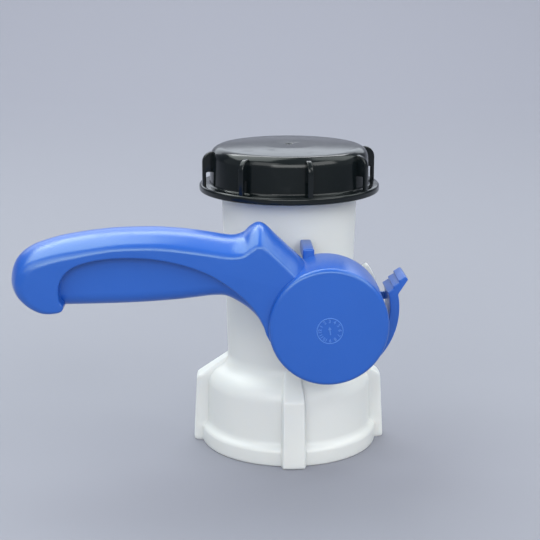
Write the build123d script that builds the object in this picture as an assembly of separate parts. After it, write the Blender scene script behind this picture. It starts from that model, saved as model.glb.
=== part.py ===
"""Tank tap: an eccentric flap valve for a liquid container, with a screwed foot, a lever and a dust cap.

Millimetres, +Z up along the flow. The origin is on the flow axis, in the plane of the foot's open end.
The lever's spindle runs along Y: "out" is a distance from the flow axis towards the lever, so y = -out.
"""

import os
from math import cos, radians, sin, sqrt, tan

from build123d import *

# Foot: the ribbed skirt that screws on the container
FOOT_THREAD_R = 30.2
FOOT_THREAD_DEPTH = 25.0
RIM_R = 38.3
RIM_HEIGHT = 7.0
RIM_ROUND = 1.4
SKIRT_R = 35.4
SHOULDER_Z = 30.5
SHOULDER_ROUND = 5.0
RIB_COUNT = 4
RIB_WIDTH = 9.5
RIB_FOOT_R = 41.9
RIB_TOP_R = 40.2
RIB_TOP_Z = 29.0
RIB_ROUND = 1.6
RIB_RISE_Z = 38.2

# Neck and outlet
NECK_FOOT_R = 26.4
NECK_FOOT_Z = 36.0
NECK_FOOT_ROUND = 4.0
NECK_R = 28.7
NECK_TOP_Z = 110.0
OUTLET_R = 27.6
OUTLET_HEIGHT = 17.0
INLET_BORE_R = 23.0
BORE_R = 24.8
LEDGE_R = 20.8
LEDGE_HEIGHT = 2.6

# Flap and its seat
FLAP_R = 23.0
FLAP_THICKNESS = 5.0
FLAP_CONE_DEG = 23.0
SEAT_CLEARANCE = 0.3
EAR_R = 7.2
EAR_WIDTH = 6.0
EAR_SPACING = 16.0

# Spindle, set to one side of the flow axis by as much as the flap lies below it
SPINDLE_OFFSET = 11.4
SPINDLE_Z = 69.8
SPINDLE_R = 6.5
SHAFT_R = 5.0
RUNNING_CLEARANCE = 0.05
TAIL_LENGTH = 6.5
FLATS_WIDTH = 8.4
DRIVE_R = 5.6
SCREW_R = 1.5
SCREW_HEAD_R = 3.0
SCREW_HEAD_HEIGHT = 2.0
O_RING_SECTION_R = 0.7
O_RING_OUTS = (36.0, 41.0)

# Boss on the neck that carries the spindle, with the plate that the catch locks to
BOSS_R = 12.0
BOSS_OUT = 55.0
BOSS_TAIL_R = 9.0
BOSS_TAIL_WALL = 3.0
BUSH_WALL = 2.0
BUSH_LENGTH = 10.0
STRIKE_R = 24.3
STRIKE_GAP = 2.5
STRIKE_THICKNESS = 4.0
STRIKE_FROM_DEG = 38.5
STRIKE_TO_DEG = -104.0
NOTCH_DEG = 5.1
NOTCH_SPAN_DEG = 15.0
NOTCH_DEPTH = 3.0
LEVER_TRAVEL_DEG = 90.0

# Lever: drum, arm and grip
DRUM_R = 23.2
DRUM_BACK_R = 23.8
DRUM_REACH = 15.0
DRUM_DEPTH = 25.0
DRUM_WALL = 2.6
DRUM_FACE = 3.2
DRUM_EDGE = 1.6
SLEEVE_R = 10.0
SLEEVE_GAP = 0.6
ARM_SETBACK = 3.0
ARM_DEPTH = 27.0
WEB_WIDTH = 17.0
WEB_ROUND = 5.0
GRIP_REACH = 122.0
LUG_DEG = 104.0
LUG_WIDTH = 4.5
LUG_R = 26.7
LUG_REACH = 15.3
LUG_THICKNESS = 5.0
WASHER_THICKNESS = 1.0
CIRCLIP_THICKNESS = 1.0
CIRCLIP_DEPTH = 0.9
CIRCLIP_WIDTH = 2.6
CIRCLIP_GAP_DEG = 50.0
SNAP_RING_THICKNESS = 1.2

# Catch: the finger that locks the lever, behind the drum
CATCH_GAP = 1.0
CATCH_DEPTH = 12.5
FINGER_DEPTH = 16.5
FINGER_GAP = 2.6
FINGER_WALL = 3.7
CATCH_PIVOT_R = 19.0
CATCH_PIVOT_DEG = -55.0
CATCH_EYE_R = 4.2
CATCH_PIN_R = 1.6
CATCH_PIN_SEAT = 12.0
CATCH_TOP_DEG = 13.5
PAD_ROOT_DEG = 11.5
PAD_REACH = 4.7
PAD_TIP_DEG = 22.3
PAD_THICKNESS = 1.7
PAD_STEPS = 3
PAD_STEP_HEIGHT = 0.9
TOOTH_GAP = 0.4
TOOTH_BITE = 2.5
TOOTH_DEG = 3.0
TOOTH_SPAN_DEG = 7.0

# Dust cap
CAP_FLANGE_R = 38.2
CAP_GAP = 1.2
CAP_FLANGE_HEIGHT = 3.0
CAP_R = 33.8
CAP_ROOF = 2.0
CAP_EDGE = 4.8
CAP_THREAD_R = 31.2
LUG_COUNT = 8
CAP_LUG_TURN_DEG = 10.0
CAP_LUG_R = 37.4
CAP_LUG_THICKNESS = 2.2
CAP_LUG_DROP = 2.2
CAP_LUG_ROUND = 4.2
WINDOW_WIDTH = 2.6
WINDOW_HEIGHT = 5.6
LINER_THICKNESS = 1.5
LINER_PLAY = 0.2

# Gasket in the foot
GASKET_R = 31.0
GASKET_THICKNESS = 3.0
GASKET_PLAY = 0.3

GASKET_SEAT_Z = FOOT_THREAD_DEPTH + GASKET_THICKNESS
FLAP_MID_Z = SPINDLE_Z - SPINDLE_OFFSET
FLAP_FOOT_Z = FLAP_MID_Z - FLAP_THICKNESS / 2
FLAP_TOP_Z = FLAP_MID_Z + FLAP_THICKNESS / 2
FLAP_FOOT_R = FLAP_R - FLAP_THICKNESS * tan(radians(FLAP_CONE_DEG))
SEAT_FOOT_Z = FLAP_FOOT_Z - SEAT_CLEARANCE
OUTLET_TOP_Z = NECK_TOP_Z + OUTLET_HEIGHT
CAP_FLANGE_Z = NECK_TOP_Z + CAP_GAP
CAP_TOP_Z = OUTLET_TOP_Z + LINER_THICKNESS + CAP_ROOF
CAP_LUG_TOP_Z = CAP_TOP_Z - CAP_LUG_DROP
DRUM_OUT = BOSS_OUT + DRUM_REACH
DRUM_BACK_OUT = DRUM_OUT - DRUM_DEPTH
ARM_OUT = DRUM_OUT - ARM_SETBACK
ARM_BACK_OUT = ARM_OUT - ARM_DEPTH
LUG_BACK_OUT = DRUM_BACK_OUT - LUG_REACH
CATCH_OUT = DRUM_BACK_OUT - CATCH_GAP
CATCH_BACK_OUT = CATCH_OUT - CATCH_DEPTH
STRIKE_OUT = CATCH_BACK_OUT - STRIKE_GAP
CATCH_INNER_R = STRIKE_R + FINGER_GAP
CATCH_OUTER_R = CATCH_INNER_R + FINGER_WALL
PAD_TIP_R = CATCH_OUTER_R + PAD_REACH
BOSS_BORE_R = SPINDLE_R + RUNNING_CLEARANCE
BUSH_R = BOSS_BORE_R + BUSH_WALL
WASHER_OUT = BOSS_OUT + WASHER_THICKNESS
CIRCLIP_OUT = WASHER_OUT + CIRCLIP_THICKNESS
SLEEVE_OUT = CIRCLIP_OUT + SLEEVE_GAP
SPINDLE_OUT = DRUM_OUT - DRUM_FACE - SLEEVE_GAP
SNAP_RING_OUT = (SLEEVE_OUT + SPINDLE_OUT) / 2
TAIL_Y = sqrt(BORE_R**2 - SPINDLE_OFFSET**2) + TAIL_LENGTH

# Lines of the lever from the front, as percentages of the grip's reach: to the left of the spindle, and above it
CREST_LINE = (
    (100.0, 13.3), (99.0, 18.7), (96.5, 22.4), (90.8, 25.6), (78.3, 28.6), (65.8, 29.9), (56.5, 30.1),
    (44.1, 29.3), (32.9, 27.5), (29.3, 27.2), (26.4, 28.2), (24.3, 30.2), (21.8, 31.3), (19.3, 30.4),
    (15.9, 27.0), (7.7, 19.0),
)
EDGE_LINE = (
    (97.0, 13.3), (96.2, 16.7), (94.3, 19.3), (90.2, 21.5), (78.5, 24.1), (65.9, 26.0), (56.6, 26.1),
    (44.1, 24.9), (33.0, 23.1), (29.7, 22.8), (26.6, 23.2), (24.1, 24.8), (22.1, 25.8), (20.2, 25.2),
    (16.5, 21.8), (9.8, 14.9),
)
HOLLOW_LINE = (
    (19.5, -2.7), (22.7, 4.1), (28.9, 10.9), (33.1, 14.2), (43.5, 19.3), (49.6, 21.1), (62.3, 22.5),
    (72.7, 21.8), (77.5, 20.6), (82.5, 17.2), (84.3, 12.1), (83.9, 8.4),
)
KNOB_CREST_LINE = (
    (83.1, 6.9), (85.6, 4.5), (89.7, 4.3), (93.8, 5.6), (96.9, 7.7), (99.0, 10.2),
)
KNOB_EDGE_LINE = (
    (83.3, 6.9), (85.7, 5.0), (89.2, 4.9), (92.1, 6.1), (94.6, 8.0), (96.4, 10.5),
)
WEB_LOW_LINE = (
    (85.6, 6.1), (65.9, 6.3), (47.5, 7.3), (37.2, 8.2), (30.7, 7.2), (25.1, 3.9), (19.7, -3.1),
)
WEB_HIGH_LINE = (
    (10.2, 4.3), (31.5, 19.8), (60.2, 24.8), (85.6, 18.2),
)


def lathe(*points):
    """A solid of revolution about the flow axis, from (radius, z) corners in order."""
    return revolve(Plane.XZ * make_face(Polyline(*points, close=True)), Axis.Z)


def tube(radius, bore, z_from, z_to):
    """A ring about the flow axis."""
    return lathe((bore, z_from), (radius, z_from), (radius, z_to), (bore, z_to))


def plate(sketch, out_from, out_to):
    """A flat sketch in (x, z), as thick as the two distances out from the flow axis."""
    return extrude(Plane.XZ.offset(out_from) * sketch, out_to - out_from)


def facing_out(out, x, z):
    """The plane at a distance out from the flow axis, centred on (x, z) and facing the lever's side."""
    return Plane(origin=(x, -out, z), x_dir=(1, 0, 0), z_dir=(0, -1, 0))


def round_bar(radius, out_from, out_to, turn_deg=0.0, arm=0.0, end_radius=None):
    """A bar along the spindle, at an arm's length from its axis, with a taper if a second radius is given."""
    place = facing_out(out_from, *polar(arm, turn_deg))
    if end_radius is None:
        return Part(Solid.make_cylinder(radius, out_to - out_from, place).wrapped)
    return Part(Solid.make_cone(radius, end_radius, out_to - out_from, place).wrapped)


def polar(radius, turn_deg):
    """(x, z) of a point about the spindle's axis, with 0 degrees along +X and 90 degrees up."""
    turn = radians(turn_deg)
    return (SPINDLE_OFFSET + radius * cos(turn), SPINDLE_Z + radius * sin(turn))


def sector(inner, outer, from_deg, to_deg):
    """A ring sector about the spindle's axis in (x, z), from one angle to a larger one."""
    mid_deg = (from_deg + to_deg) / 2
    outline = [
        ThreePointArc(polar(outer, from_deg), polar(outer, mid_deg), polar(outer, to_deg)),
        Line(polar(outer, to_deg), polar(inner, to_deg)),
        ThreePointArc(polar(inner, to_deg), polar(inner, mid_deg), polar(inner, from_deg)),
        Line(polar(inner, from_deg), polar(outer, from_deg)),
    ]
    return make_face(outline)


def around_flow(shape, count, start_deg=0.0):
    """Copies of a shape, evenly spaced about the flow axis."""
    return [Rot(0, 0, start_deg + i * 360 / count) * shape for i in range(count)]


def body_moulding():
    """The whole moulding: threaded foot with four ribs, neck, outlet, spindle boss and strike plate."""
    skin = lathe(
        (0, 0), (RIM_R, 0), (RIM_R, RIM_HEIGHT), (SKIRT_R, RIM_HEIGHT + RIM_R - SKIRT_R),
        (SKIRT_R, SHOULDER_Z), (NECK_FOOT_R, NECK_FOOT_Z), (NECK_R, NECK_TOP_Z),
        (OUTLET_R, NECK_TOP_Z), (OUTLET_R, OUTLET_TOP_Z), (0, OUTLET_TOP_Z),
    )
    skin = fillet(circles_at(skin, SKIRT_R, SHOULDER_Z), SHOULDER_ROUND)
    skin = fillet(circles_at(skin, NECK_FOOT_R, NECK_FOOT_Z), NECK_FOOT_ROUND)
    skin = fillet(circles_at(skin, RIM_R, RIM_HEIGHT), RIM_ROUND)
    rib_outline = make_face(Polyline(
        (0, 0), (RIB_FOOT_R, 0), (RIB_TOP_R, RIB_TOP_Z), (NECK_FOOT_R, RIB_RISE_Z), (0, RIB_RISE_Z), close=True))
    rib = extrude(Plane.XZ * rib_outline, RIB_WIDTH / 2, both=True)
    outer_edges = [e for e in rib.edges() if e.center().X > SKIRT_R and e.center().Z > 0.1]
    rib = fillet(outer_edges, RIB_ROUND)
    skin += around_flow(rib, RIB_COUNT)
    skin += round_bar(BOSS_R, 0, BOSS_OUT)
    skin += round_bar(BOSS_TAIL_R, -TAIL_Y - BOSS_TAIL_WALL, 0)
    strike = sector(BOSS_R / 2, STRIKE_R, STRIKE_TO_DEG, STRIKE_FROM_DEG)
    for notch_deg in (NOTCH_DEG, NOTCH_DEG - LEVER_TRAVEL_DEG):
        half = NOTCH_SPAN_DEG / 2
        strike -= sector(STRIKE_R - NOTCH_DEPTH, STRIKE_R + NOTCH_DEPTH, notch_deg - half, notch_deg + half)
    skin += plate(strike, STRIKE_OUT - STRIKE_THICKNESS, STRIKE_OUT)
    hollow = lathe(
        (0, 0), (FOOT_THREAD_R, 0), (FOOT_THREAD_R, FOOT_THREAD_DEPTH), (GASKET_R, FOOT_THREAD_DEPTH),
        (GASKET_R, GASKET_SEAT_Z), (INLET_BORE_R, GASKET_SEAT_Z),
        (INLET_BORE_R, SEAT_FOOT_Z - LEDGE_HEIGHT - INLET_BORE_R + LEDGE_R), (LEDGE_R, SEAT_FOOT_Z - LEDGE_HEIGHT),
        (LEDGE_R, SEAT_FOOT_Z), (BORE_R, SEAT_FOOT_Z), (BORE_R, OUTLET_TOP_Z), (0, OUTLET_TOP_Z),
    )
    body = skin - hollow
    body -= round_bar(BOSS_BORE_R, 0, BOSS_OUT)
    body -= round_bar(BUSH_R, BOSS_OUT - BUSH_LENGTH, BOSS_OUT)
    body -= round_bar(SHAFT_R + RUNNING_CLEARANCE, -TAIL_Y - RUNNING_CLEARANCE, 0)
    return body


def valve_foot():
    """The moulding's foot, up to where the ribs run out on the neck."""
    return split(body_moulding(), Plane.XY.offset(RIB_RISE_Z), keep=Keep.BOTTOM)


def valve_neck():
    """The moulding's neck, from where the ribs run out, with the boss, the strike plate and the outlet."""
    return split(body_moulding(), Plane.XY.offset(RIB_RISE_Z), keep=Keep.TOP)


def circles_at(solid, radius, z):
    """The round edges of a turned solid at one radius and height."""
    near = 0.01
    return [
        e for e in solid.edges().filter_by(GeomType.CIRCLE)
        if abs(e.radius - radius) < near and abs(e.arc_center.Z - z) < near
    ]


def seat_ring():
    """Rubber seat that the flap's cone closes on, standing on the ledge in the bore."""
    slope = tan(radians(FLAP_CONE_DEG))
    gap = SEAT_CLEARANCE / cos(radians(FLAP_CONE_DEG))
    foot_r = FLAP_FOOT_R + gap - slope * (FLAP_FOOT_Z - SEAT_FOOT_Z)
    top_r = foot_r + slope * (FLAP_TOP_Z - SEAT_FOOT_Z)
    return lathe((foot_r, SEAT_FOOT_Z), (BORE_R, SEAT_FOOT_Z), (BORE_R, FLAP_TOP_Z), (top_r, FLAP_TOP_Z))


def ear_places():
    """The two distances out from the flow axis at which the flap's ears are centred."""
    return (-EAR_SPACING / 2, EAR_SPACING / 2)


def flap_screw(out, clearance=0.0):
    """Screw through an ear into the shaft, its head on the ear's flat top."""
    shank = Cylinder(SCREW_R + clearance, EAR_R + SHAFT_R / 2, align=(Align.CENTER, Align.CENTER, Align.MAX))
    head = Cylinder(SCREW_HEAD_R + clearance, SCREW_HEAD_HEIGHT, align=(Align.CENTER, Align.CENTER, Align.MIN))
    return Pos(SPINDLE_OFFSET, -out, SPINDLE_Z + EAR_R) * (shank + head)


def flap():
    """Conical disc with two ears on the shaft, which lies to one side of its centre and above it."""
    disc = lathe((0, FLAP_FOOT_Z), (FLAP_FOOT_R, FLAP_FOOT_Z), (FLAP_R, FLAP_TOP_Z), (0, FLAP_TOP_Z))
    for out in ear_places():
        web = Pos(SPINDLE_OFFSET, SPINDLE_Z) * Rectangle(2 * EAR_R, SPINDLE_Z - FLAP_TOP_Z, align=(
            Align.CENTER, Align.MAX))
        eye = Pos(SPINDLE_OFFSET, SPINDLE_Z) * Rectangle(2 * EAR_R, EAR_R, align=(Align.CENTER, Align.MIN))
        disc += plate(web + eye, out - EAR_WIDTH / 2, out + EAR_WIDTH / 2)
        disc -= flap_screw(out, RUNNING_CLEARANCE)
    return disc - round_bar(SHAFT_R + RUNNING_CLEARANCE, -EAR_SPACING, EAR_SPACING)


def spindle():
    """Stepped shaft: tail and shaft through the bore, sealed journal in the boss, two flats in the lever."""
    journal_out = sqrt(BORE_R**2 - SPINDLE_OFFSET**2)
    bar = round_bar(SHAFT_R, -TAIL_Y + RUNNING_CLEARANCE, journal_out + RUNNING_CLEARANCE)
    bar += round_bar(SPINDLE_R, journal_out + RUNNING_CLEARANCE, CIRCLIP_OUT)
    drive = plate(Pos(*polar(0, 0)) * Circle(DRIVE_R), CIRCLIP_OUT, SPINDLE_OUT)
    bar += drive & plate(Pos(*polar(0, 0)) * Rectangle(4 * DRIVE_R, FLATS_WIDTH), CIRCLIP_OUT, SPINDLE_OUT)
    groove_r = SPINDLE_R - 2 * (O_RING_SECTION_R + RUNNING_CLEARANCE)
    for out in O_RING_OUTS:
        half = O_RING_SECTION_R + RUNNING_CLEARANCE
        bar -= round_bar(SPINDLE_R, out - half, out + half) - round_bar(groove_r, out - half, out + half)
    seat = (WASHER_OUT, CIRCLIP_OUT)
    bar -= round_bar(SPINDLE_R, *seat) - round_bar(SPINDLE_R - CIRCLIP_DEPTH, *seat)
    ring = (SNAP_RING_OUT - SNAP_RING_THICKNESS / 2, SNAP_RING_OUT + SNAP_RING_THICKNESS / 2)
    bar -= round_bar(SPINDLE_R, *ring) - round_bar(FLATS_WIDTH / 2 - CIRCLIP_DEPTH, *ring)
    for out in ear_places():
        bar -= flap_screw(out, RUNNING_CLEARANCE)
    return bar


def o_ring(out):
    """Seal ring in one of the spindle's grooves."""
    centre_r = SPINDLE_R - O_RING_SECTION_R - RUNNING_CLEARANCE
    return Part(Solid.make_torus(centre_r, O_RING_SECTION_R, facing_out(out, *polar(0, 0))).wrapped)


def spindle_bush():
    """Plain bearing in the boss's mouth."""
    span = (BOSS_OUT - BUSH_LENGTH, BOSS_OUT)
    return round_bar(BUSH_R, *span) - round_bar(BOSS_BORE_R, *span)


def thrust_washer():
    """Washer between the boss and the circlip."""
    span = (BOSS_OUT, WASHER_OUT)
    return round_bar(BOSS_R, *span) - round_bar(BOSS_BORE_R, *span)


def spindle_circlip():
    """Open ring in the spindle's groove, which keeps it in the boss."""
    inner = SPINDLE_R - CIRCLIP_DEPTH
    half = CIRCLIP_GAP_DEG / 2
    return plate(sector(inner, inner + CIRCLIP_WIDTH, half - 90, 270 - half), WASHER_OUT, CIRCLIP_OUT)


def lever_snap_ring():
    """Open ring in the sleeve, which snaps into the spindle's last groove."""
    inner = FLATS_WIDTH / 2 - CIRCLIP_DEPTH
    half = CIRCLIP_GAP_DEG / 2
    ring = sector(inner, inner + CIRCLIP_WIDTH, half - 90, 270 - half)
    return plate(ring, SNAP_RING_OUT - SNAP_RING_THICKNESS / 2, SNAP_RING_OUT + SNAP_RING_THICKNESS / 2)


def lever_line(table):
    """A smooth line through a table of percentages."""
    return Spline(*[
        (SPINDLE_OFFSET - GRIP_REACH * left / 100, SPINDLE_Z + GRIP_REACH * up / 100) for left, up in table])


def ring_of(*lines):
    """A flat face inside lines that follow each other, with straight lines across the gaps between them."""
    edges = []
    for line, following in zip(lines, lines[1:] + lines[:1]):
        edges += [line, Line(line @ 1, following @ 0)]
    return make_face(edges)


def lever_grip():
    """Grip and arm: a hood that is crowned across its depth, on a narrower web with a rounded underside."""
    edge = ring_of(lever_line(EDGE_LINE), lever_line(HOLLOW_LINE), lever_line(KNOB_EDGE_LINE))
    crest = ring_of(lever_line(CREST_LINE), lever_line(HOLLOW_LINE), lever_line(KNOB_CREST_LINE))
    mid_out = (ARM_OUT + ARM_BACK_OUT) / 2
    layers = [(ARM_BACK_OUT, edge), (mid_out, crest), (ARM_OUT, edge)]
    hood = loft([Plane.XZ.offset(out) * face for out, face in layers])
    web_face = ring_of(lever_line(WEB_LOW_LINE), lever_line(WEB_HIGH_LINE))
    web = plate(web_face, mid_out - WEB_WIDTH / 2, mid_out + WEB_WIDTH / 2)
    low_edges = web.edges().filter_by(lambda e: e.length > GRIP_REACH / 2).sort_by(Axis.Z)[:2]
    return hood + fillet(low_edges, WEB_ROUND)


def lever():
    """One moulding: drum with a closed face, sleeve for the spindle, arm and grip, and a lug behind the drum."""
    drum = round_bar(DRUM_BACK_R, DRUM_BACK_OUT, DRUM_OUT, end_radius=DRUM_R)
    front = drum.edges().filter_by(GeomType.CIRCLE).sort_by(Axis.Y)[0]
    drum = fillet(front, DRUM_EDGE)
    made = drum + lever_grip()
    inside = round_bar(DRUM_BACK_R - DRUM_WALL, ARM_BACK_OUT, DRUM_OUT - DRUM_FACE, end_radius=DRUM_R - DRUM_WALL)
    made -= inside
    sleeve = round_bar(SLEEVE_R, SLEEVE_OUT, DRUM_OUT - DRUM_FACE / 2)
    socket = plate(Pos(*polar(0, 0)) * Circle(DRIVE_R + RUNNING_CLEARANCE), SLEEVE_OUT, DRUM_OUT - DRUM_FACE)
    flats = Pos(*polar(0, 0)) * Rectangle(4 * DRIVE_R, FLATS_WIDTH + 2 * RUNNING_CLEARANCE)
    sleeve -= socket & plate(flats, SLEEVE_OUT, DRUM_OUT - DRUM_FACE)
    ring = (SNAP_RING_OUT - SNAP_RING_THICKNESS / 2, SNAP_RING_OUT + SNAP_RING_THICKNESS / 2)
    sleeve -= round_bar(FLATS_WIDTH / 2 - CIRCLIP_DEPTH + CIRCLIP_WIDTH, *ring)
    made += sleeve
    lug = Pos(*polar(LUG_R, LUG_DEG)) * Pos(0, -LUG_THICKNESS / 2) * Rectangle(LUG_WIDTH, LUG_THICKNESS)
    made += plate(lug, LUG_BACK_OUT, DRUM_BACK_OUT + DRUM_WALL)
    made += round_bar(CATCH_EYE_R, DRUM_BACK_OUT, DRUM_OUT - DRUM_FACE, CATCH_PIVOT_DEG, CATCH_PIVOT_R)
    return made - round_bar(CATCH_PIN_R, DRUM_BACK_OUT, DRUM_BACK_OUT + CATCH_PIN_SEAT, CATCH_PIVOT_DEG,
                            CATCH_PIVOT_R)


def catch_pin():
    """Pin pressed into the drum, on which the catch turns."""
    return round_bar(CATCH_PIN_R, CATCH_BACK_OUT, DRUM_BACK_OUT + CATCH_PIN_SEAT, CATCH_PIVOT_DEG, CATCH_PIVOT_R)


def catch():
    """Curved finger about the drum with a stepped thumb pad, an eye on its pin and a tooth for the strike plate."""
    arm = sector(CATCH_INNER_R, CATCH_OUTER_R, CATCH_PIVOT_DEG, PAD_ROOT_DEG)
    crank = sector(CATCH_PIVOT_R, CATCH_OUTER_R, CATCH_PIVOT_DEG - 7, CATCH_PIVOT_DEG + 7)
    eye = Pos(*polar(CATCH_PIVOT_R, CATCH_PIVOT_DEG)) * Circle(CATCH_EYE_R)
    finger = plate(crank + eye, CATCH_BACK_OUT, CATCH_OUT)
    finger += plate(arm + thumb_pad(), CATCH_OUT - FINGER_DEPTH, CATCH_OUT)
    half = TOOTH_SPAN_DEG / 2
    tooth = sector(STRIKE_R + TOOTH_GAP, CATCH_OUTER_R, TOOTH_DEG - half, TOOTH_DEG + half)
    finger += plate(tooth, STRIKE_OUT - TOOTH_BITE, CATCH_OUT)
    return finger - round_bar(CATCH_PIN_R + RUNNING_CLEARANCE, CATCH_BACK_OUT, CATCH_OUT, CATCH_PIVOT_DEG,
                              CATCH_PIVOT_R)


def thumb_pad():
    """The flared end of the catch in (x, z): a bar with steps cut along its upper side for the thumb."""
    foot = Vector(*polar(CATCH_INNER_R, CATCH_TOP_DEG))
    tip = Vector(*polar(PAD_TIP_R, PAD_TIP_DEG))
    along = (tip - foot).normalized()
    across = Vector(-along.Y, along.X)
    length = (tip - foot).length
    upper = []
    for i in range(PAD_STEPS):
        start = foot + along * (length * i / PAD_STEPS)
        upper += [start + across * PAD_STEP_HEIGHT, start + along * (length / PAD_STEPS)]
    root = Vector(*polar(CATCH_OUTER_R, PAD_ROOT_DEG))
    lower = [tip - across * PAD_THICKNESS, root, Vector(*polar(CATCH_INNER_R, PAD_ROOT_DEG)), foot]
    return make_face(Polyline(*[(p.X, p.Y) for p in upper + lower], close=True))


def outlet_cap():
    """Screw cap with a flange and eight grip lugs, each with a window at its foot."""
    shell = lathe((0, CAP_FLANGE_Z), (CAP_FLANGE_R, CAP_FLANGE_Z), (CAP_FLANGE_R, CAP_FLANGE_Z + CAP_FLANGE_HEIGHT),
                  (CAP_R, CAP_FLANGE_Z + CAP_FLANGE_HEIGHT), (CAP_R, CAP_TOP_Z), (0, CAP_TOP_Z))
    shell = fillet(circles_at(shell, CAP_R, CAP_TOP_Z), CAP_EDGE)
    flange_top = CAP_FLANGE_Z + CAP_FLANGE_HEIGHT
    outline = make_face(Polyline((CAP_THREAD_R, flange_top), (CAP_LUG_R, flange_top), (CAP_LUG_R, CAP_LUG_TOP_Z),
                                 (CAP_THREAD_R, CAP_LUG_TOP_Z), close=True))
    lug = extrude(Plane.XZ * outline, CAP_LUG_THICKNESS / 2, both=True)
    crown_edge = [e for e in lug.edges() if e.center().X > CAP_LUG_R - 0.1 and e.center().Z > CAP_LUG_TOP_Z - 0.1]
    lug = fillet(crown_edge, CAP_LUG_ROUND)
    window = Pos(CAP_R + WINDOW_WIDTH / 2 - 0.4, 0, flange_top + WINDOW_HEIGHT / 2) * Box(
        WINDOW_WIDTH, 2 * CAP_LUG_THICKNESS, WINDOW_HEIGHT)
    shell += around_flow(lug - window, LUG_COUNT, CAP_LUG_TURN_DEG - 90)
    return shell - lathe((0, CAP_FLANGE_Z), (CAP_THREAD_R, CAP_FLANGE_Z), (CAP_THREAD_R, OUTLET_TOP_Z + LINER_THICKNESS),
                         (0, OUTLET_TOP_Z + LINER_THICKNESS))


def cap_liner():
    """Sealing disc in the cap, lying on the outlet's end."""
    return lathe((0, OUTLET_TOP_Z), (CAP_THREAD_R - LINER_PLAY, OUTLET_TOP_Z),
                 (CAP_THREAD_R - LINER_PLAY, OUTLET_TOP_Z + LINER_THICKNESS), (0, OUTLET_TOP_Z + LINER_THICKNESS))


def tank_gasket():
    """Flat ring at the top of the foot's thread."""
    return tube(GASKET_R - GASKET_PLAY, INLET_BORE_R + GASKET_PLAY, FOOT_THREAD_DEPTH, GASKET_SEAT_Z)


def flap_screws():
    """The two screws that hold the flap on the shaft."""
    return Compound([flap_screw(out) for out in ear_places()])


PIECES = {
    "valve_foot": valve_foot,
    "valve_neck": valve_neck,
    "seat_ring": seat_ring,
    "flap": flap,
    "flap_screws": flap_screws,
    "spindle": spindle,
    "inner_o_ring": lambda: o_ring(O_RING_OUTS[0]),
    "outer_o_ring": lambda: o_ring(O_RING_OUTS[1]),
    "spindle_bush": spindle_bush,
    "thrust_washer": thrust_washer,
    "spindle_circlip": spindle_circlip,
    "lever_snap_ring": lever_snap_ring,
    "lever": lever,
    "catch": catch,
    "catch_pin": catch_pin,
    "outlet_cap": outlet_cap,
    "cap_liner": cap_liner,
    "tank_gasket": tank_gasket,
}

os.makedirs("parts", exist_ok=True)
for name, make in PIECES.items():
    export_step(make(), f"parts/{name}.step")
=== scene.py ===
"""Looks of the tank tap: milky white body, blue lever and catch, black screw cap."""

from math import cos, pi, radians, sin, tau

import bmesh
import bpy
import numpy as np
from mathutils import Matrix, Vector


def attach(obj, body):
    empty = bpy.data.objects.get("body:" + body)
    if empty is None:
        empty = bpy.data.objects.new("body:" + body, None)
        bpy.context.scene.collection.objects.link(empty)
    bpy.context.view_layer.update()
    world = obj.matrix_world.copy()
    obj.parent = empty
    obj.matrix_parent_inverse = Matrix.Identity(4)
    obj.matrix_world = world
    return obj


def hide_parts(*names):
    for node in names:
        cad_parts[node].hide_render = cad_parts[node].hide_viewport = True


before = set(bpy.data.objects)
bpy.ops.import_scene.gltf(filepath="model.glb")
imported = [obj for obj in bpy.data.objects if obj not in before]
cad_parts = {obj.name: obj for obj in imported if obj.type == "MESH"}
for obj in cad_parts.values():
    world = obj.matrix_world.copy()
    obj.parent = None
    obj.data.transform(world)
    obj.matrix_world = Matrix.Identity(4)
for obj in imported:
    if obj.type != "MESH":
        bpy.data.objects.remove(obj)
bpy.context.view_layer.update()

MM = 0.001
SPINDLE_X = 11.4
SPINDLE_Z = 69.8
ROUND_STEPS = 7
TURN_STEPS = 192
SHARP_DEG = 38
THREAD_PITCH = 6.0
THREAD_FOOT = 3.4
THREAD_STEPS = 96


# Curves: arrays of points in millimetres

def rounded(corners, closed=True, steps=ROUND_STEPS):
    """A polyline with its corners rounded. A corner is (u, v, radius): its arc touches both sides at
    radius / tan(half angle) from the corner, and is drawn with the given number of points. A corner with no
    radius stays one point."""
    given = np.array([(c[0], c[1]) for c in corners], float)
    radii = np.array([c[2] if len(c) > 2 else 0.0 for c in corners], float)
    to_prev = np.roll(given, 1, 0) - given
    to_next = np.roll(given, -1, 0) - given
    to_prev /= np.linalg.norm(to_prev, axis=1, keepdims=True)
    to_next /= np.linalg.norm(to_next, axis=1, keepdims=True)
    half = np.arccos(np.clip((to_prev * to_next).sum(1), -1, 1)) / 2
    if not closed:
        radii[[0, -1]] = 0.0
    middle = to_prev + to_next
    middle /= np.maximum(np.linalg.norm(middle, axis=1, keepdims=True), 1e-9)
    centre = given + middle * (radii / np.sin(half))[:, None]
    start = given + to_prev * (radii / np.tan(half))[:, None] - centre
    end = given + to_next * (radii / np.tan(half))[:, None] - centre
    a0 = np.arctan2(start[:, 1], start[:, 0])
    sweep = (np.arctan2(end[:, 1], end[:, 0]) - a0 + pi) % tau - pi
    t = np.linspace(0, 1, steps)
    angle = a0[:, None] + sweep[:, None] * t
    arcs = centre[:, None, :] + radii[:, None, None] * np.stack([np.cos(angle), np.sin(angle)], -1)
    keep = np.ones((len(given), steps), bool)
    keep[radii == 0, 1:] = False
    arcs[radii == 0] = given[radii == 0][:, None, :]
    return arcs[keep]


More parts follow.
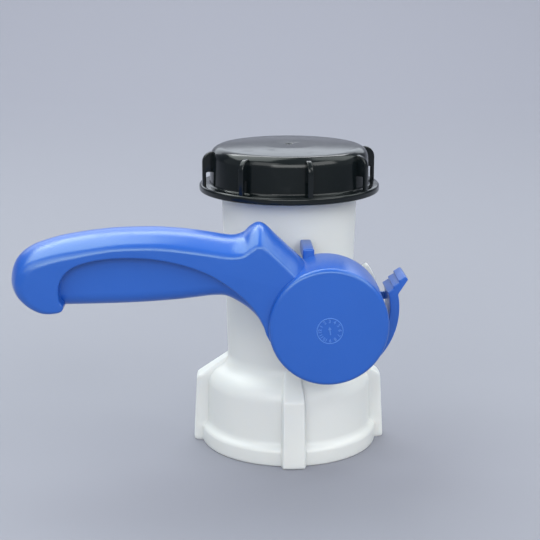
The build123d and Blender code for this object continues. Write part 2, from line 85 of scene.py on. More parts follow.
def smooth(keys, per_span, closed=True):
    """A Catmull-Rom curve: each span is the cubic whose end slopes are half the chord between the
    neighbouring keys, sampled per_span times."""
    k = np.array(keys, float)
    before = np.roll(k, 1, 0)
    after = np.roll(k, -1, 0)
    later = np.roll(k, -2, 0)
    if not closed:
        before[0], after[-1], later[-2:] = k[0], k[-1], k[-1]
    t = (np.arange(per_span) / per_span)[None, :, None]
    b, c, d, e = (p[:, None, :] for p in (before, k, after, later))
    curve = c + 0.5 * t * (d - b + t * (2 * b - 5 * c + 4 * d - e + t * (3 * (c - d) + e - b)))
    curve = curve.reshape(-1, k.shape[1])
    return curve if closed else np.vstack([curve[:-per_span], k[-1:]])


def outward(outline):
    """Unit normals of a closed outline, pointing away from what it encloses."""
    step = np.roll(outline, -1, 0) - np.roll(outline, 1, 0)
    normal = np.stack([step[:, 1], -step[:, 0]], -1)
    normal /= np.maximum(np.linalg.norm(normal, axis=1, keepdims=True), 1e-9)
    area = np.sum(outline[:, 0] * np.roll(outline[:, 1], -1) - np.roll(outline[:, 0], -1) * outline[:, 1])
    return normal if area > 0 else -normal


def about_spindle(corners, step_deg=3.0):
    """A closed outline in (x, z) from (radius, degrees, rounding) corners about the spindle: two corners at
    one radius are joined by an arc, others by a straight run, and an arc's points keep clear of the
    roundings."""
    path = []
    for (r0, d0, fillet), (r1, d1, next_fillet) in zip(corners, corners[1:] + corners[:1]):
        path.append((r0, d0, fillet))
        clear0, clear1 = np.degrees(1.5 * np.array([fillet, next_fillet]) / r0) + 0.5
        run = abs(d1 - d0) - clear0 - clear1
        if r0 == r1 and run > step_deg:
            way = np.sign(d1 - d0)
            arc = np.linspace(d0 + way * clear0, d1 - way * clear1, int(run / step_deg) + 2)
            path += [(r0, d, 0.0) for d in arc]
    r, d, fillets = np.array(path, float).T
    d = np.radians(d)
    return rounded(np.stack([SPINDLE_X + r * np.cos(d), SPINDLE_Z + r * np.sin(d), fillets], -1))


# Surfaces: points in millimetres, and a list of arrays of point numbers, one row a face

def grid_faces(rows, columns, close_rows=False, close_columns=False):
    """Quads of a grid of rows by columns of points, with either direction joined up."""
    r = np.arange(rows if close_rows else rows - 1)
    c = np.arange(columns if close_columns else columns - 1)
    r, c = np.meshgrid(r, c, indexing="ij")
    r2, c2 = (r + 1) % rows, (c + 1) % columns
    quads = np.stack([r * columns + c, r * columns + c2, r2 * columns + c2, r2 * columns + c], -1)
    return [quads.reshape(-1, 4)]


def turned(profile, closed=True, steps=TURN_STEPS):
    """A profile of (radius, z) carried round the flow axis: x = r cos a, y = r sin a."""
    a = np.arange(steps) * tau / steps
    r, z = profile[:, 0], profile[:, 1]
    points = np.stack([r[:, None] * np.cos(a), r[:, None] * np.sin(a), np.repeat(z[:, None], steps, 1)], -1)
    return points.reshape(-1, 3), grid_faces(len(profile), steps, closed, True)


def turned_on_spindle(profile, closed=True, steps=TURN_STEPS, x=SPINDLE_X, z=SPINDLE_Z):
    """A profile of (radius, out) carried round a line along Y: x + r cos a, -out, z + r sin a."""
    points, faces = turned(profile, closed, steps)
    points = np.stack([x + points[:, 0], -points[:, 2], z + points[:, 1]], -1)
    return points, faces


def stacked(outlines, heights):
    """Outlines of equal count laid at heights, skinned, with a flat face on the first and the last. Point
    (i, j) is outline i's point j, with heights[i] or heights[i, j] as its third value."""
    layers = np.array(outlines)
    count, size, _ = layers.shape
    heights = np.broadcast_to(np.asarray(heights, float).reshape(count, -1), (count, size))
    points = np.concatenate([layers, heights[..., None]], -1)
    ends = [np.arange(size)[None, ::-1], np.arange((count - 1) * size, count * size)[None]]
    return points.reshape(-1, 3), grid_faces(count, size, False, True) + ends


def slab(outline, low, high, edge):
    """An outline made thick, with both rims rounded: near a rim, at a quarter circle's angle b, the outline
    draws in by edge (1 - cos b) while the height stops short of the rim by edge (1 - sin b)."""
    normal = outward(outline)
    b = np.linspace(pi / 2, 0, ROUND_STEPS)
    draw = np.concatenate([edge * (1 - np.cos(b)), edge * (1 - np.cos(b[::-1]))])
    height = np.concatenate([low + edge * (1 - np.sin(b)), high - edge * (1 - np.sin(b[::-1]))])
    return stacked(outline[None] - draw[:, None, None] * normal[None], height)


def facing_front(surface):
    """A slab drawn in (x, z) with its height out from the flow axis, put into the object's axes."""
    points, faces = surface
    return np.stack([points[:, 0], -points[:, 2], points[:, 1]], -1), faces


def fin(surface, turn_deg):
    """A slab drawn in (radius, z) with its height across, turned about the flow axis to stand at an angle
    from the front towards the right."""
    points, faces = surface
    a = radians(turn_deg)
    r, z, t = points.T
    return np.stack([r * sin(a) + t * cos(a), -r * cos(a) + t * sin(a), z], -1), faces


def helix(root, crest, z_from, z_to, tip):
    """A thread: a trapezium from root to crest radius, THREAD_FOOT wide at the root and tip wide at the
    crest, carried up a helix, fading almost to nothing over its first and last eighth of a turn."""
    turns = (z_to - z_from) / THREAD_PITCH
    a = np.linspace(0, tau * turns, int(THREAD_STEPS * turns))
    fade = np.clip(np.minimum(a, a[-1] - a) / (pi / 4), 0.02, 1)
    z = z_from + THREAD_PITCH * a / tau
    across = np.array([-THREAD_FOOT / 2, -tip / 2, tip / 2, THREAD_FOOT / 2])
    reach = np.array([0, 1, 1, 0])
    r = root + (crest - root) * fade[:, None] * reach
    points = np.stack([r * np.cos(a)[:, None], r * np.sin(a)[:, None], z[:, None] + across], -1)
    points = points.reshape(-1, 3)
    ends = [np.array([[3, 2, 1, 0]]), np.arange(len(points) - 4, len(points))[None]]
    return points, grid_faces(len(a), 4, False, True) + ends


def joined(*surfaces):
    """Several surfaces as one, each one's point numbers moved on by the points before it."""
    first = np.cumsum([0] + [len(points) for points, _ in surfaces])
    faces = [rows + start for (_, part), start in zip(surfaces, first) for rows in part]
    return np.vstack([points for points, _ in surfaces]), faces


def piece(name, surface, material, body, replaced):
    """A mesh object from a surface, in metres, with closed poles, outward faces and crisp edges kept."""
    points, faces = surface
    mesh = bpy.data.meshes.new(name)
    mesh.from_pydata((points * MM).tolist(), [], sum((rows.tolist() for rows in faces), []))
    shell = bmesh.new()
    shell.from_mesh(mesh)
    bmesh.ops.remove_doubles(shell, verts=shell.verts, dist=1e-7)
    bmesh.ops.recalc_face_normals(shell, faces=shell.faces)
    shell.to_mesh(mesh)
    shell.free()
    mesh.polygons.foreach_set("use_smooth", np.ones(len(mesh.polygons), bool))
    mesh.set_sharp_from_angle(angle=radians(SHARP_DEG))
    mesh.materials.append(material)
    made = bpy.data.objects.new(name, mesh)
    bpy.context.scene.collection.objects.link(made)
    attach(made, body)
    if replaced:
        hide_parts(*replaced)


# Materials

def mould_skin_group():
    """Skin of a moulding: cloudy tone from a slow noise, scuffs and pores from quicker ones."""
    group = bpy.data.node_groups.new("mould_skin", "ShaderNodeTree")
    sockets = group.interface
    for name, default in (("Cloud Scale", 40.0), ("Pore Scale", 2500.0), ("Scuff Scale", 160.0)):
        sockets.new_socket(name, in_out="INPUT", socket_type="NodeSocketFloat").default_value = default
    for name in ("Cloud", "Scuff", "Height"):
        sockets.new_socket(name, in_out="OUTPUT", socket_type="NodeSocketFloat")
    nodes, links = group.nodes, group.links
    given, out = nodes.new("NodeGroupInput"), nodes.new("NodeGroupOutput")
    place = nodes.new("ShaderNodeTexCoord")
    cloud, pore, scuff = (nodes.new("ShaderNodeTexNoise") for _ in range(3))
    for noise, scale, detail in (
        (cloud, "Cloud Scale", 3.0), (pore, "Pore Scale", 2.0), (scuff, "Scuff Scale", 6.0),
    ):
        links.new(place.outputs["Object"], noise.inputs["Vector"])
        links.new(given.outputs[scale], noise.inputs["Scale"])
        noise.inputs["Detail"].default_value = detail
    spread = nodes.new("ShaderNodeMapRange")
    spread.inputs["From Min"].default_value = 0.56
    spread.inputs["From Max"].default_value = 0.72
    links.new(scuff.outputs["Fac"], spread.inputs["Value"])
    blend = nodes.new("ShaderNodeMath")
    blend.operation = "MULTIPLY_ADD"
    blend.inputs[1].default_value = 0.35
    links.new(scuff.outputs["Fac"], blend.inputs[0])
    links.new(pore.outputs["Fac"], blend.inputs[2])
    links.new(cloud.outputs["Fac"], out.inputs["Cloud"])
    links.new(spread.outputs["Result"], out.inputs["Scuff"])
    links.new(blend.outputs["Value"], out.inputs["Height"])
    return group


SKIN = mould_skin_group()


def moulded(name, dark, light, rough, scuffed, bump, pore_scale=2500.0, subsurface=0.0, specular=0.5,
            sheen=(1.0, 1.0, 1.0), metal=0.0):
    """A moulded finish: two close tones in clouds, roughness between two values by scuffs, fine pores."""
    made = bpy.data.materials.new(name)
    made.use_nodes = True
    nodes, links = made.node_tree.nodes, made.node_tree.links
    shader = nodes["Principled BSDF"]
    skin = nodes.new("ShaderNodeGroup")
    skin.node_tree = SKIN
    skin.inputs["Pore Scale"].default_value = pore_scale
    tone = nodes.new("ShaderNodeMix")
    tone.data_type = "RGBA"
    tone.inputs[6].default_value = (*dark, 1)
    tone.inputs[7].default_value = (*light, 1)
    links.new(skin.outputs["Cloud"], tone.inputs[0])
    links.new(tone.outputs[2], shader.inputs["Base Color"])
    gloss = nodes.new("ShaderNodeMapRange")
    gloss.inputs["To Min"].default_value = rough
    gloss.inputs["To Max"].default_value = scuffed
    links.new(skin.outputs["Scuff"], gloss.inputs["Value"])
    links.new(gloss.outputs["Result"], shader.inputs["Roughness"])
    relief = nodes.new("ShaderNodeBump")
    relief.inputs["Strength"].default_value = bump
    relief.inputs["Distance"].default_value = 0.0002
    links.new(skin.outputs["Height"], relief.inputs["Height"])
    links.new(relief.outputs["Normal"], shader.inputs["Normal"])
    shader.inputs["Metallic"].default_value = metal
    shader.inputs["Specular IOR Level"].default_value = specular
    shader.inputs["Specular Tint"].default_value = (*sheen, 1)
    shader.inputs["Subsurface Weight"].default_value = subsurface
    shader.inputs["Subsurface Radius"].default_value = (0.005, 0.0045, 0.004)
    shader.inputs["Subsurface Scale"].default_value = 1.0
    return made


WHITE = moulded("milky_white", (0.74, 0.75, 0.74), (0.79, 0.79, 0.77), 0.34, 0.46, 0.10, subsurface=0.45)
BLUE = moulded("lever_blue", (0.011, 0.092, 0.470), (0.016, 0.108, 0.530), 0.28, 0.34, 0.12, 1800.0,
               specular=0.8, sheen=(0.8, 1.0, 0.65))
# The dial is moulded in the lever's own blue; this lighter blue is a painted highlight, standing in for light
# caught by the raised numbers, pointer and rim.
DIAL_HIGHLIT_BLUE = moulded("dial_blue_painted_highlight", (0.075, 0.21, 0.61), (0.09, 0.235, 0.67), 0.40, 0.50, 0.10, 1800.0)
BLACK = moulded("cap_black", (0.003, 0.005, 0.006), (0.006, 0.009, 0.010), 0.15, 0.24, 0.05, 2200.0,
                specular=0.36)
DARK = moulded("dark_fibre_plastic", (0.07, 0.07, 0.075), (0.11, 0.11, 0.115), 0.5, 0.6, 0.25)
RUBBER = moulded("seal_rubber", (0.02, 0.02, 0.02), (0.035, 0.035, 0.034), 0.62, 0.75, 0.3)
LINER = moulded("liner_foam", (0.60, 0.60, 0.57), (0.70, 0.70, 0.67), 0.7, 0.8, 0.4, 1200.0)
STEEL = moulded("plain_steel", (0.52, 0.53, 0.55), (0.60, 0.61, 0.63), 0.28, 0.4, 0.1, metal=1.0)


# White body

FOOT_AND_NECK = [
    (30.2, 0, 0.3), (38.3, 0, 0.8), (38.3, 6.8, 2.0), (35.7, 8.8, 3.0), (35.3, 30.6, 8.5), (26.4, 36.2, 7.0),
    (28.7, 110.0),
]
RIB_FACE = [(30.2, 0, 0.3), (41.9, 0, 1.2), (40.3, 29.0, 2.2), (26.4, 38.6, 2.0), (24.0, 60.0)]
RIB_COUNT = 4
RIB_R = 40
RIB_TOP_HALF, RIB_FOOT_HALF, RIB_CLEAR_HALF = 4.2, 5.7, 7
RIB_COLUMNS, GAP_COLUMNS = 45, 26
PROFILE_STEPS = 61
ROW_HEIGHTS = np.concatenate([
    0.9 * (1 - np.cos(np.linspace(0, pi / 2, 9))), np.linspace(1.2, 10, 36), np.linspace(10.5, 24, 16),
    np.linspace(24.3, 44, 68), np.linspace(47, 110, 14),
])
OUTLET_AND_BORE = [
    (28.7, 110.0), (28.5, 110.2, 0.05), (27.6, 110.2, 0.1), (27.6, 127.0, 0.8), (24.8, 127.0, 0.6),
    (24.8, 55.6, 0.2), (20.8, 55.6, 0.3), (20.8, 53.0, 0.3), (23.0, 51.0, 0.5), (23.0, 28.0, 0.4),
    (31.0, 28.0, 0.3), (31.0, 25.0, 0.3), (30.2, 25.0, 0.3), (30.2, 0.0),
]
BOSS = [
    (12.0, 20.0, 0.1), (12.0, 55.0, 0.6), (8.55, 55.0, 0.2), (8.55, 45.0, 0.1), (6.55, 45.0, 0.1),
    (6.55, 24.0, 0.1),
]
TAIL_BOSS = [
    (0.0, -31.5), (9.0, -31.5, 1.2), (9.0, -18.0, 0.1), (5.05, -18.0, 0.1), (5.05, -28.5, 0.1), (0.0, -28.5),
]
STRIKE_FACE = [(24.3, 38.5, 0.9), (24.3, -104.0, 0.9), (10.0, -104.0, 0.5), (10.0, 38.5, 0.5)]
STRIKE_FACE_DEPTH = 28.2, 29.0
STRIKE = [
    (24.3, 38.5, 0.9), (24.3, 12.6, 0.5), (21.3, 12.6, 0.5), (21.3, -2.4, 0.5), (24.3, -2.4, 0.5),
    (24.3, -77.4, 0.5), (21.3, -77.4, 0.5), (21.3, -92.4, 0.5), (24.3, -92.4, 0.5), (24.3, -104.0, 0.9),
    (10.0, -104.0, 0.5), (10.0, 38.5, 0.5),
]
STRIKE_DEPTH = 25.0, 28.4
OUTLET_THREAD = {"root": 27.5, "crest": 29.8, "z_from": 113.4, "z_to": 125.0, "tip": 1.2}
FOOT_THREAD = {"root": 30.3, "crest": 29.0, "z_from": 3.0, "z_to": 23.0, "tip": 1.4}


def foot_and_neck():
    """The ribbed foot, neck, outlet and bore as one grid of height by angle. Outside, the radius at an angle
    is the skirt's plus S times what the rib's face stands proud of it, where S goes smoothly from 1 to 0
    between RIB_TOP_HALF and RIB_FOOT_HALF across from a rib's middle. Inside, each row is a plain circle."""
    skirt = rounded(FOOT_AND_NECK, closed=False, steps=PROFILE_STEPS)[1:]
    rib = rounded(RIB_FACE, closed=False, steps=PROFILE_STEPS)[1:]
    skirt_r = np.interp(ROW_HEIGHTS, skirt[:, 1], skirt[:, 0])
    rib_r = np.maximum(np.interp(ROW_HEIGHTS, rib[:, 1], rib[:, 0]), skirt_r)
    dense = np.arcsin(np.linspace(-RIB_CLEAR_HALF, RIB_CLEAR_HALF, RIB_COLUMNS) / RIB_R)
    sparse = np.linspace(dense[-1], tau / RIB_COUNT + dense[0], GAP_COLUMNS)[1:-1]
    sector = np.concatenate([dense, sparse])
    a = (sector[None, :] + np.arange(RIB_COUNT)[:, None] * tau / RIB_COUNT).ravel() - pi / 2
    across = np.tile(np.abs(np.sin(sector)) * RIB_R, RIB_COUNT)
    t = np.clip((RIB_FOOT_HALF - across) / (RIB_FOOT_HALF - RIB_TOP_HALF), 0, 1)
    proud = t * t * (3 - 2 * t)
    outside = skirt_r[:, None] + (rib_r - skirt_r)[:, None] * proud
    inside = rounded(OUTLET_AND_BORE, closed=False)[1:]
    r = np.vstack([outside, np.repeat(inside[:, :1], len(a), 1)])
    height = np.concatenate([ROW_HEIGHTS, inside[:, 1]])
    points = np.stack([r * np.cos(a), r * np.sin(a), np.repeat(height[:, None], len(a), 1)], -1)
    return points.reshape(-1, 3), grid_faces(len(height), len(a), True, True)


piece(
    "white_body",
    joined(
        foot_and_neck(),
        turned_on_spindle(rounded(BOSS)),
        turned_on_spindle(rounded(TAIL_BOSS, closed=False), closed=False),
        facing_front(slab(about_spindle(STRIKE), *STRIKE_DEPTH, edge=0.2)),
        facing_front(slab(about_spindle(STRIKE_FACE), *STRIKE_FACE_DEPTH, edge=0.3)),
        helix(**OUTLET_THREAD),
        helix(**FOOT_THREAD),
    ),
    WHITE, "body", ["valve_foot", "valve_neck"],
)


# Black screw cap

CAP_WALL = [
    (0.0, 130.45), (0.6, 130.45, 0.1), (1.0, 130.2, 0.2), (1.6, 130.2, 0.2), (2.0, 130.5, 0.2),
    (12.0, 130.42, 8.0), (33.3, 129.7, 4.6), (33.8, 114.2, 0.9), (38.2, 114.2, 1.0), (38.2, 111.2, 0.7),
    (31.2, 111.2, 0.5), (31.2, 128.5, 0.4), (0.0, 128.5),
]
CAP_LUG = [
    (32.6, 119.8, 0.5), (35.9, 119.8, 0.6), (35.9, 113.2, 0.5), (37.4, 113.2, 0.5), (37.4, 127.6, 4.6),
    (32.6, 128.6, 0.5),
]
CAP_LUG_COUNT = 8
CAP_LUG_DEPTH = -1.1, 1.1
FIRST_CAP_LUG_DEG = 10
CAP_THREAD = {"root": 31.3, "crest": 30.2, "z_from": 113.0, "z_to": 125.0, "tip": 1.2}


def cap_lug(number):
    """One of the cap's lugs, at its place round the cap."""
    turn_deg = FIRST_CAP_LUG_DEG + 360 / CAP_LUG_COUNT * number
    return fin(slab(rounded(CAP_LUG), *CAP_LUG_DEPTH, edge=0.42), turn_deg)


piece(
    "black_cap",
    joined(
        turned(rounded(CAP_WALL, closed=False), closed=False),
        *[cap_lug(number) for number in range(CAP_LUG_COUNT)],
        helix(**CAP_THREAD),
    ),
    BLACK, "cap", ["outlet_cap"],
)


# Blue lever

CREST = [
    (-110.5, 86.0), (-110.1, 90.5), (-108.6, 94.3), (-106.3, 97.1), (-103.2, 99.3), (-99.4, 101.0),
    (-91.7, 103.3), (-84.1, 104.7), (-76.5, 105.7), (-68.9, 106.3), (-57.5, 106.5), (-49.9, 106.2),
    (-42.4, 105.5), (-34.8, 104.4), (-28.7, 103.3), (-24.4, 103.0), (-20.8, 104.2), (-18.2, 106.6),
    (-15.2, 108.0), (-12.2, 106.9), (-8.0, 102.8), (-3.4, 98.4), (2.0, 93.0), (6.0, 86.0), (2.0, 76.0),
]
FRONT_EDGE = [
    (-107.0, 86.0), (-106.4, 89.0), (-105.2, 91.6), (-103.6, 93.4), (-101.6, 94.8), (-98.6, 96.0),
    (-92.0, 97.8), (-84.4, 99.2), (-76.8, 100.5), (-69.0, 101.5), (-57.6, 101.7), (-50.0, 101.2),
    (-42.4, 100.2), (-34.8, 99.0), (-28.9, 98.0), (-24.8, 97.6), (-21.1, 98.1), (-18.0, 100.0),
    (-15.6, 101.3), (-13.2, 100.5), (-8.7, 96.4), (-5.0, 92.6), (-0.5, 88.0), (4.0, 82.0), (2.0, 76.0),
]
HOLLOW_EDGE = [
    (-4.0, 66.0), (-9.6, 62.6), (-12.3, 65.8), (-13.9, 70.4), (-16.3, 74.8), (-19.3, 78.8), (-23.8, 83.1),
    (-29.0, 87.1), (-35.0, 90.7), (-41.7, 93.4), (-49.1, 95.5), (-56.5, 96.8), (-64.6, 97.3), (-71.3, 97.1),
    (-77.3, 96.4), (-83.2, 94.9), (-87.0, 93.0), (-89.3, 90.8), (-91.0, 87.7), (-91.5, 84.6), (-91.2, 81.0),
]
KNOB_CREST = [
    (-89.9, 78.6), (-90.4, 76.4), (-93.0, 75.3), (-98.0, 75.0), (-103.0, 76.6), (-106.8, 79.2),
    (-109.3, 82.2),
]
KNOB_EDGE = [
    (-89.9, 78.6), (-90.7, 76.8), (-93.2, 75.9), (-97.4, 75.8), (-101.0, 77.2), (-104.0, 79.6),
    (-106.2, 82.6),
]
RIM_KEYS = [0, 4, 8, 14, 17, 24, 26, 44, 47, 50, 53]
RIM_ROUNDS = [3.0, 2.6, 1.8, 1.6, 1.0, 0.9, 0.7, 0.7, 0.9, 2.4, 3.0]
ARM_FRONT, ARM_BACK = 67.0, 40.0
ARM_MIDDLE = (ARM_FRONT + ARM_BACK) / 2
ARM_LAYERS, RIM_LAYERS = 25, 10
SPAN = 6


def grip_surface():
    """The hood of the grip and arm in layers across its depth. At a height h from the middle, as a share of
    half the depth, a point of the outline lies h squared of the way from the crest's line to the edges' line.
    Its rim is rounded by r, which goes along the outline by RIM_ROUNDS: at a quarter circle's angle b it
    draws in by r (1 - cos b) and stops short of the side by r (1 - sin b)."""
    crest = smooth(CREST + HOLLOW_EDGE + KNOB_CREST, SPAN)
    edge = smooth(FRONT_EDGE + HOLLOW_EDGE + KNOB_EDGE, SPAN)
    r = np.interp(np.arange(len(crest)) / SPAN, RIM_KEYS, RIM_ROUNDS)
    half = (ARM_FRONT - ARM_BACK) / 2
    b = np.linspace(0, pi / 2, RIM_LAYERS)[1:, None]
    rim = half - r * (1 - np.sin(b))
    height = np.vstack([-rim[::-1], np.linspace(-1, 1, ARM_LAYERS)[:, None] * (half - r), rim])
    draw_rim = r * (1 - np.cos(b))
    draw = np.vstack([draw_rim[::-1], np.zeros((ARM_LAYERS, len(r))), draw_rim])
    share = (height / half) ** 2
    outlines = crest + share[..., None] * (edge - crest) - draw[..., None] * outward(crest)
    return facing_front(stacked(outlines, height + ARM_MIDDLE))


WEB_LOW = [
    (-93.0, 77.2), (-80.0, 77.3), (-69.0, 77.5), (-58.0, 77.9), (-46.5, 78.7), (-38.9, 79.5), (-33.0, 80.1),
    (-28.0, 79.9), (-23.7, 77.9), (-19.2, 74.8), (-15.6, 71.0), (-12.8, 66.0), (-9.6, 60.5), (-5.0, 58.0),
]
WEB_HIGH = [(-4.0, 74.0), (-27.0, 95.0), (-45.0, 99.0), (-62.0, 100.6), (-80.0, 98.0), (-93.0, 92.0)]
WEB_HALF, WEB_FLAT, WEB_RISE = 8.5, 3.0, 5.5
WEB_SPAN = 8


def web_surface():
    """The web under the hood, in layers across its depth: beyond WEB_FLAT from the middle its low edge rises
    on a quarter ellipse, to WEB_RISE at its two sides."""
    low = smooth(WEB_LOW, WEB_SPAN, closed=False)
    outline = np.vstack([low, WEB_HIGH])
    lift = np.zeros_like(outline)
    lift[:len(low), 1] = 1.0
    depth = WEB_HALF * np.sin(np.linspace(-pi / 2, pi / 2, ARM_LAYERS))
    t = np.clip((np.abs(depth) - WEB_FLAT) / (WEB_HALF - WEB_FLAT), 0, 1)
    rise = WEB_RISE * (1 - np.sqrt(1 - t ** 2))
    return facing_front(stacked(outline + rise[:, None, None] * lift, depth + ARM_MIDDLE))


DRUM_FACE = 69.8
DRUM = [
    (0.0, DRUM_FACE), (23.2, DRUM_FACE, 1.7), (23.8, 45.0, 0.5), (21.2, 45.0, 0.3), (20.6, 66.8, 0.6),
    (10.0, 66.8, 0.4), (10.0, 57.6, 0.3), (5.7, 57.6, 0.2), (5.7, 66.8, 0.1), (0.0, 66.8),
]
DIAL_X, DIAL_Z = SPINDLE_X + 0.2, SPINDLE_Z - 1.1
DIAL_RIM = [(4.75, 69.7), (4.9, 69.98, 0.08), (5.1, 69.98, 0.08), (5.25, 69.7)]
DIAL_STEPS = 96
DIAL_TURN_DEG = -2
LUG = [(2.69, 90.7, 0.7), (7.19, 90.7, 0.7), (7.19, 95.7, 0.8), (2.69, 95.7, 0.8)]
LUG_DEPTH = 29.7, 47.6
ARROW = [
    (-0.2, -1.6, 0.08), (0.2, -1.6, 0.08), (0.2, 0.5, 0.08), (0.7, 0.5, 0.08), (0.0, 1.7, 0.08),
    (-0.7, 0.5, 0.08), (-0.2, 0.5, 0.08),
]
DIAL_NUMBERS = 12
TOP_NUMBER = 3
NUMBER_SIZE = 1.8
NUMBER_RISE = 0.15
NUMBER_EDGE = 0.04
NUMBER_RING = 3.8
ARROW_DEPTH = DRUM_FACE - 0.1, DRUM_FACE + 0.2
ARROW_TURN_DEG = -10


def on_dial(points, turn_deg, ring):
    """Points drawn in (across, up, out) set on the drum's dial: moved up by ring, then turned clockwise."""
    a = radians(-turn_deg)
    across, up, out = points[:, 0], points[:, 1] + ring, points[:, 2]
    x = DIAL_X + across * cos(a) - up * sin(a)
    z = DIAL_Z + across * sin(a) + up * cos(a)
    return np.stack([x, -out, z], -1)


def dial_number(number):
    """A number's outline, filled and drawn out to stand proud of the drum by NUMBER_RISE and NUMBER_EDGE, at
    its place round the dial."""
    text = bpy.data.curves.new("number", "FONT")
    text.body, text.size, text.extrude = str(number), NUMBER_SIZE, NUMBER_RISE
    text.bevel_depth, text.bevel_resolution, text.resolution_u = NUMBER_EDGE, 0, 4
    text.align_x = text.align_y = "CENTER"
    holder = bpy.data.objects.new("number", text)
    mesh = bpy.data.meshes.new_from_object(holder)
    mesh.calc_loop_triangles()
    points = np.empty(len(mesh.vertices) * 3, np.float32)
    mesh.vertices.foreach_get("co", points)
    faces = np.empty(len(mesh.loop_triangles) * 3, np.int32)
    mesh.loop_triangles.foreach_get("vertices", faces)
    bpy.data.meshes.remove(mesh)
    bpy.data.objects.remove(holder)
    bpy.data.curves.remove(text)
    points = points.reshape(-1, 3).astype(float) + (0, 0, DRUM_FACE)
    turn_deg = 360 / DIAL_NUMBERS * (number - TOP_NUMBER) + DIAL_TURN_DEG
    return on_dial(points, turn_deg, NUMBER_RING), [faces.reshape(-1, 3)]


def dial_arrow():
    """The dial's pointer, a thin slab in its middle."""
    points, faces = slab(rounded(ARROW), *ARROW_DEPTH, edge=0.05)
    return on_dial(points, ARROW_TURN_DEG, 0.0), faces


piece(
    "blue_lever",
    joined(
        grip_surface(),
        web_surface(),
        turned_on_spindle(rounded(DRUM, closed=False), closed=False),
        facing_front(slab(rounded(LUG), *LUG_DEPTH, edge=0.6)),
    ),
    BLUE, "lever", ["lever"],
)
# The dial's numbers, pointer and rim take the lighter blue: a painted highlight on the lever's own blue
# plastic.
piece(
    "lever_dial",
    joined(
        *[dial_number(number) for number in range(1, DIAL_NUMBERS + 1)],
        dial_arrow(),
        turned_on_spindle(rounded(DIAL_RIM), True, DIAL_STEPS, DIAL_X, DIAL_Z),
    ),
    DIAL_HIGHLIT_BLUE, "lever", [],
)


# Blue catch

FINGER_IN, FINGER_OUT = 26.9, 30.6
FINGER_FOOT_DEG, OUTER_TOP_DEG, INNER_TOP_DEG = -60, 11.5, 12.4
FINGER_POINTS = 30
FINGER_DEPTH = 27.5, 44.0
TREAD_COUNT, TREAD_RISE, TREAD_ROUND = 3, 0.9, 0.32
PAD_FOOT_DEG, PAD_TIP_R, PAD_TIP_DEG, PAD_THICKNESS = 13.5, 35.3, 22.3, 1.7
PIVOT_R, PIVOT_DEG = 19.0, -55.0
CRANK = [(30.4, -49.0, 0.5), (18.0, -44.0, 0.5), (18.0, -66.0, 0.5), (30.4, -61.0, 0.5)]
CRANK_DEPTH = 31.7, 43.8
EYE = [(1.66, 31.5, 0.2), (4.2, 31.5, 0.5), (4.2, 44.0, 0.5), (1.66, 44.0, 0.2)]
EYE_STEPS = 48
TOOTH = [(24.7, 6.5, 0.4), (24.7, -0.5, 0.4), (30.0, -0.5, 0.4), (30.0, 6.5, 0.4)]
TOOTH_DEPTH = 26.5, 28.0


def polar(radius, degrees):
    """The (x, z) point at a radius and an angle about the spindle."""
    a = radians(degrees)
    return np.array([SPINDLE_X + radius * cos(a), SPINDLE_Z + radius * sin(a)])


def finger_outline():
    """The catch's finger from the front: two arcs about the drum, closed above by the thumb pad, whose upper
    side has treads, each with a riser TREAD_RISE high across the line from the pad's foot to its tip. The
    roundings follow the points: outer foot, outer arc, pad, treads, inner arc, inner foot."""
    foot, tip = polar(FINGER_IN, PAD_FOOT_DEG), polar(PAD_TIP_R, PAD_TIP_DEG)
    along = (tip - foot) / TREAD_COUNT
    across = np.array([-along[1], along[0]]) / np.linalg.norm(along)
    steps = [(i, k) for i in reversed(range(TREAD_COUNT)) for k in (1, 0)]
    treads = [foot + along * i + across * TREAD_RISE * k for i, k in steps]
    pad = [tip - across * PAD_THICKNESS, tip] + treads
    outer = [polar(FINGER_OUT, d) for d in np.linspace(FINGER_FOOT_DEG, OUTER_TOP_DEG, FINGER_POINTS)]
    inner = [polar(FINGER_IN, d) for d in np.linspace(INNER_TOP_DEG, FINGER_FOOT_DEG, FINGER_POINTS)]
    fillets = [0.5] + [0.0] * (FINGER_POINTS - 2) + [1.5, 0.6, 0.5]
    fillets += [TREAD_ROUND] * (2 * TREAD_COUNT - 1) + [0.0] * FINGER_POINTS + [0.5]
    return rounded(np.column_stack([np.vstack([outer, pad, inner]), fillets]))


piece(
    "blue_catch",
    joined(
        facing_front(slab(finger_outline(), *FINGER_DEPTH, edge=0.3)),
        facing_front(slab(about_spindle(CRANK), *CRANK_DEPTH, edge=0.4)),
        turned_on_spindle(rounded(EYE), True, EYE_STEPS, *polar(PIVOT_R, PIVOT_DEG)),
        facing_front(slab(about_spindle(TOOTH), *TOOTH_DEPTH, edge=0.3)),
    ),
    BLUE, "catch", ["catch"],
)


# Finishes of the solids that stay

FINISHES = {
    "seat_ring": RUBBER, "flap": WHITE, "flap_screws": STEEL, "spindle": DARK, "inner_o_ring": RUBBER,
    "outer_o_ring": RUBBER, "spindle_bush": DARK, "thrust_washer": STEEL, "spindle_circlip": STEEL,
    "lever_snap_ring": STEEL, "catch_pin": STEEL, "cap_liner": LINER, "tank_gasket": RUBBER,
}
for node, finish in FINISHES.items():
    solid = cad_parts[node]
    solid.data.materials.clear()
    solid.data.materials.append(finish)


# Studio

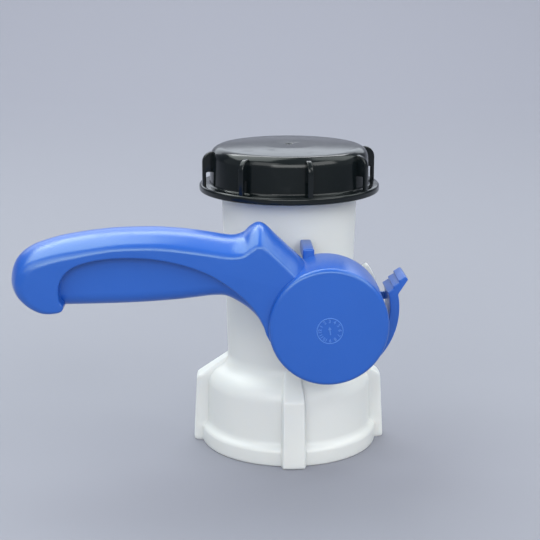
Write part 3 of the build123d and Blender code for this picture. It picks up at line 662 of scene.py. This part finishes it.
SWEEP_FRONT, SWEEP_BEND, SWEEP_BEND_R, SWEEP_TOP, SWEEP_HALF = -3.0, 1.2, 0.8, 4.0, 5.0
SWEEP_STEPS = 24
PAPER_COLOUR, PAPER_ROUGH = (0.28, 0.283, 0.328), 0.9
MIDDLE = (0.0, 0.0, 0.07)
COOL, CLEAR = (0.92, 1.0, 0.97), (0.98, 1.0, 0.98)
LAMPS = [
    ("top_left_box", (-0.5, 0.2, 1.0), (-0.2, 0.0, 0.07), (0.9, 0.9), 8.0, COOL),
    ("top_right_box", (0.7, 0.2, 1.0), MIDDLE, (0.7, 0.9), 4.0, COOL),
    ("far_box", (0.0, 1.9, 1.9), (0.0, 1.7, 0.1), (2.6, 1.0), 56.0, (0.95, 0.98, 1.0)),
    ("back_box", (0.0, 1.7, 0.8), (0.0, 0.0, 0.1), (2.4, 0.6), 6.5, (0.86, 0.93, 1.0)),
    ("front_box", (-0.1, -1.7, 0.8), MIDDLE, (1.6, 0.7), 15.0, CLEAR),
    ("left_box", (-0.9, -1.0, 1.0), MIDDLE, (1.0, 0.8), 5.0, CLEAR),
    ("right_box", (1.0, -0.8, 1.0), MIDDLE, (1.0, 0.8), 8.0, CLEAR),
]
AIR_COLOUR, AIR_STRENGTH = (0.80, 0.86, 0.92), 0.42
CAMERA_PLACE, CAMERA_LOOK = (-0.0333, -0.545, 0.2124), (0.0447, 0.9689, -0.2433)
FOCAL_PIXELS, PHOTO_PIXELS, SENSOR_MM = 1300, 540, 36.0


def plain(name, colour, rough):
    """A flat finish for the studio's sweep."""
    made = bpy.data.materials.new(name)
    made.use_nodes = True
    shader = made.node_tree.nodes["Principled BSDF"]
    shader.inputs["Base Color"].default_value = (*colour, 1)
    shader.inputs["Roughness"].default_value = rough
    return made


def studio_sweep():
    """Floor that curves up into a back wall: a straight run, a quarter circle and a straight rise, drawn out
    in x."""
    b = np.linspace(0, pi / 2, SWEEP_STEPS)
    bend = np.stack([SWEEP_BEND + SWEEP_BEND_R * np.sin(b), SWEEP_BEND_R * (1 - np.cos(b))], -1)
    path = np.vstack([[(SWEEP_FRONT, 0.0)], bend, [(SWEEP_BEND + SWEEP_BEND_R, SWEEP_TOP)]])
    x = np.array([-SWEEP_HALF, SWEEP_HALF])
    points = np.stack([np.tile(x, len(path)), np.repeat(path[:, 0], 2), np.repeat(path[:, 1], 2)], -1)
    mesh = bpy.data.meshes.new("studio_sweep")
    mesh.from_pydata(points.tolist(), [], grid_faces(len(path), 2)[0].tolist())
    mesh.polygons.foreach_set("use_smooth", np.ones(len(mesh.polygons), bool))
    mesh.materials.append(plain("sweep_paper", PAPER_COLOUR, PAPER_ROUGH))
    made = bpy.data.objects.new("studio_sweep", mesh)
    bpy.context.scene.collection.objects.link(made)


def soft_box(name, place, aim, size, power, colour):
    """A rectangular lamp at a place, turned to face a point."""
    lamp = bpy.data.lights.new(name, "AREA")
    lamp.shape = "RECTANGLE"
    lamp.size, lamp.size_y = size
    lamp.energy = power
    lamp.color = colour
    made = bpy.data.objects.new(name, lamp)
    made.location = place
    made.rotation_euler = (Vector(aim) - Vector(place)).to_track_quat("-Z", "Y").to_euler()
    bpy.context.scene.collection.objects.link(made)


studio_sweep()
for lamp_values in LAMPS:
    soft_box(*lamp_values)

world = bpy.data.worlds.new("studio_air")
world.use_nodes = True
air = world.node_tree.nodes["Background"]
air.inputs["Color"].default_value = (*AIR_COLOUR, 1)
air.inputs["Strength"].default_value = AIR_STRENGTH
bpy.context.scene.world = world

lens = bpy.data.cameras.new("photo_camera")
lens.sensor_width = SENSOR_MM
lens.lens = FOCAL_PIXELS * SENSOR_MM / PHOTO_PIXELS
camera = bpy.data.objects.new("photo_camera", lens)
turn = Vector(CAMERA_LOOK).normalized().to_track_quat("-Z", "Y")
camera.matrix_world = Matrix.Translation(CAMERA_PLACE) @ turn.to_matrix().to_4x4()
bpy.context.scene.collection.objects.link(camera)
bpy.context.scene.camera = camera
bpy.context.scene.view_settings.view_transform = "Standard"
